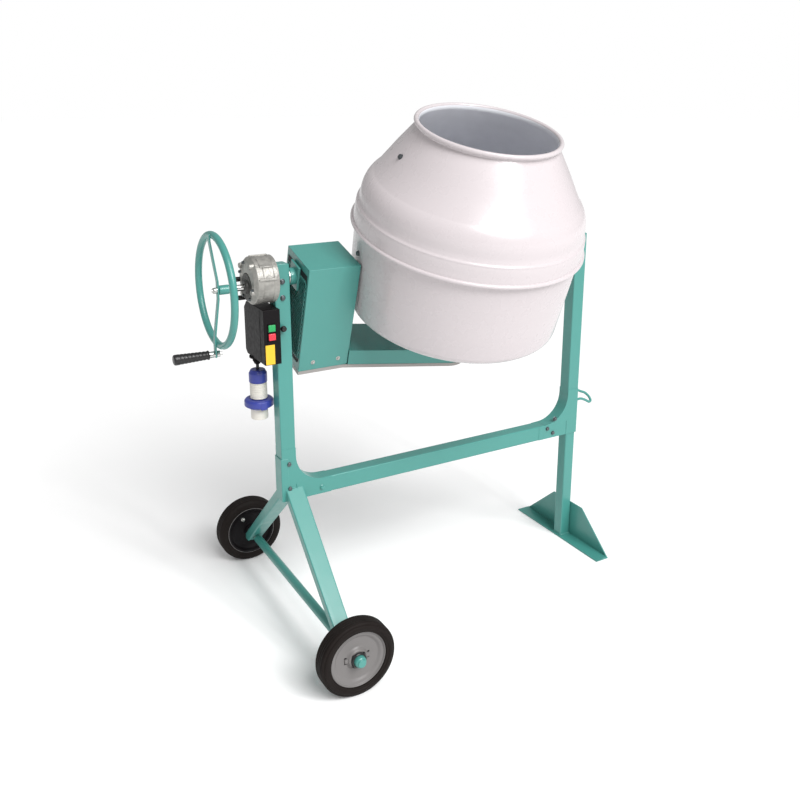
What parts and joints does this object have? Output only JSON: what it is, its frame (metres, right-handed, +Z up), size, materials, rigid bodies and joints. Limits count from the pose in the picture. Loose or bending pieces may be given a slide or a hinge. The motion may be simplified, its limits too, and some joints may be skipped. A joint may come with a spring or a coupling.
{
  "type": "tilting-drum concrete mixer",
  "caption": "Electric concrete mixer: a tilting steel drum on a yoke between two posts, tipped by a geared handwheel, on a wheeled stand.",
  "frame": {"origin": "On the ground under the middle of the mixer's outline, with the drum's tilt axis straight above it.", "axes": "+X from the handwheel side to the footed post, along the tilt axis; +Z up; the drum's mouth leans towards -Y."},
  "size_m": [1.3199, 0.8137, 1.3694],
  "materials": {
    "frame_paint": "semi-gloss turquoise enamel over mild steel",
    "drum_paint": "glossy light grey enamel over spun steel sheet",
    "cover_grey": "light grey enamel over pressed steel",
    "cast_aluminium": "as-cast aluminium, lightly mottled",
    "steel": "machined mild steel",
    "chrome": "bright zinc-plated steel",
    "rim_grey": "satin grey painted pressed steel",
    "tyre_rubber": "matt black solid rubber",
    "belt_rubber": "matt black belt rubber",
    "lead_rubber": "matt black cable sheath",
    "black_plastic": "matt black moulded plastic",
    "blue_plastic": "semi-gloss blue moulded plastic",
    "grey_plastic": "semi-gloss light grey moulded plastic",
    "green_plastic": "gloss green moulded plastic",
    "red_plastic": "gloss red moulded plastic"
  },
  "bodies": {
    "frame": {"left_post": "frame_paint", "right_post": "frame_paint", "cross_beam": "frame_paint", "left_gusset": "frame_paint", "right_gusset": "frame_paint", "right_leg": "frame_paint", "foot_plate": "frame_paint", "front_leg": "frame_paint", "rear_leg": "frame_paint", "axle": "steel", "axle_sleeve": "frame_paint", "tow_loop": "frame_paint", "left_bush": "steel", "right_bush": "steel", "gear_housing": "cast_aluminium", "switch_box": "black_plastic", "cable_gland": "black_plastic", "mains_lead": "lead_rubber", "plug_nut": "blue_plastic", "plug_body": "grey_plastic", "plug_flange": "blue_plastic", "plug_shroud": "grey_plastic", "plug_pins": "chrome"},
    "start_button": {"start_button": "green_plastic"},
    "stop_button": {"stop_button": "red_plastic"},
    "lock_knob": {"lock_knob": "black_plastic"},
    "handwheel": {"pinion_shaft": "chrome", "handwheel": "frame_paint", "handwheel_hub": "frame_paint", "grip_bolt": "chrome"},
    "crank_grip": {"crank_grip": "black_plastic"},
    "yoke": {"motor_box": "frame_paint", "vent_panel": "frame_paint", "yoke_casing": "frame_paint", "bottom_cover": "cover_grey", "tilt_bracket": "frame_paint", "motor_plate": "steel", "motor_stator": "cast_aluminium", "drive_belt": "belt_rubber", "spindle_housing": "cast_aluminium", "yoke_arm": "frame_paint", "trunnion_pin": "steel", "tilt_shaft": "steel", "ring_gear": "steel"},
    "motor_rotor": {"motor_pulley": "steel"},
    "layshaft": {"layshaft": "steel"},
    "drum": {"drum_gear": "steel", "drum_spindle": "steel", "drum_bowl": "drum_paint", "drum_cone": "drum_paint", "mixing_blade_1": "drum_paint", "mixing_blade_2": "drum_paint"},
    "front_wheel": {"front_tyre": "tyre_rubber", "front_rim": "rim_grey", "front_cap": "frame_paint"},
    "rear_wheel": {"rear_tyre": "tyre_rubber", "rear_rim": "rim_grey", "rear_cap": "frame_paint"}
  },
  "joints": [
    {"name": "yoke_tilt", "type": "hinge", "parent": "frame", "child": "yoke", "pos_m": [0, 0, 0.955], "axis": [1, 0, 0], "range_deg": [-60, 100]},
    {"name": "handwheel_turn", "type": "hinge", "parent": "frame", "child": "handwheel", "pos_m": [-0.539, 0, 0.94], "axis": [1, 0, 0], "range_deg": [-162, 270]},
    {"name": "crank_grip_spin", "type": "hinge", "parent": "handwheel", "child": "crank_grip", "pos_m": [-0.6, 0, 0.783], "axis": [1, 0, 0], "continuous": true},
    {"name": "drum_spin", "type": "hinge", "parent": "yoke", "child": "drum", "pos_m": [0.105, -0.07323, 0.93121], "axis": [0, -0.309, 0.9511], "continuous": true},
    {"name": "layshaft_spin", "type": "hinge", "parent": "yoke", "child": "layshaft", "pos_m": [0.03516, 0.01141, 0.72739], "axis": [0, -0.309, 0.9511], "continuous": true},
    {"name": "motor_spin", "type": "hinge", "parent": "yoke", "child": "motor_rotor", "pos_m": [-0.26, 0.0454, 0.81203], "axis": [0, -0.309, 0.9511], "continuous": true},
    {"name": "front_wheel_spin", "type": "hinge", "parent": "frame", "child": "front_wheel", "pos_m": [-0.363, -0.3635, 0.098], "axis": [0, 1, 0], "continuous": true},
    {"name": "rear_wheel_spin", "type": "hinge", "parent": "frame", "child": "rear_wheel", "pos_m": [-0.363, 0.3635, 0.098], "axis": [0, 1, 0], "continuous": true},
    {"name": "start_button_press", "type": "slide", "parent": "frame", "child": "start_button", "axis": [0, 1, 0], "range_m": [0, 0.003], "stiffness_N_per_m": 600, "springref_m": -0.002},
    {"name": "stop_button_press", "type": "slide", "parent": "frame", "child": "stop_button", "axis": [0, 1, 0], "range_m": [0, 0.003], "stiffness_N_per_m": 600, "springref_m": -0.002},
    {"name": "lock_knob_turn", "type": "hinge", "parent": "frame", "child": "lock_knob", "pos_m": [-0.382, -0.03, 0.831], "axis": [0, 1, 0], "range_deg": [-180, 180]}
  ],
  "couplings": [
    {"joint": "handwheel_turn", "follows": "yoke_tilt", "ratio": 2.6667},
    {"joint": "layshaft_spin", "follows": "drum_spin", "ratio": -5},
    {"joint": "motor_spin", "follows": "drum_spin", "ratio": -30}
  ]
}
